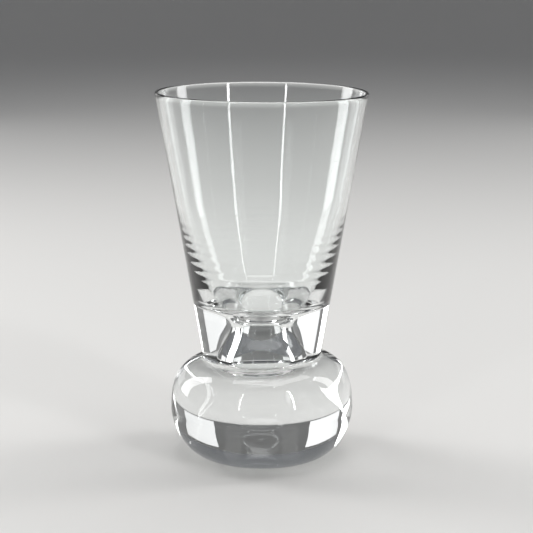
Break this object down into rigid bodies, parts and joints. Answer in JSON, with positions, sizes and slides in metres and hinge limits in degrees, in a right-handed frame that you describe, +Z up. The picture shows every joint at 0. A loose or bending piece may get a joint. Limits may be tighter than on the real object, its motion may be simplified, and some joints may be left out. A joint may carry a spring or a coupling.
{
  "type": "mixing glass",
  "caption": "Clear mixing glass: a thin flared bowl whose thick lower part narrows to a waist over a small bell-shaped pocket, set in a solid flattened glass ball foot.",
  "frame": {"origin": "centre of the foot's flat underside, on the surface that the glass stands on", "axes": "+Z up, along the glass's axis of revolution, from the foot to the rim; -Y towards the viewer of the picture"},
  "size_m": [0.086, 0.086, 0.1504],
  "materials": {
    "clear_glass": "clear, colourless, fire-polished"
  },
  "bodies": {
    "root": {"bowl": "clear_glass", "ball_foot": "clear_glass"}
  },
  "joints": []
}
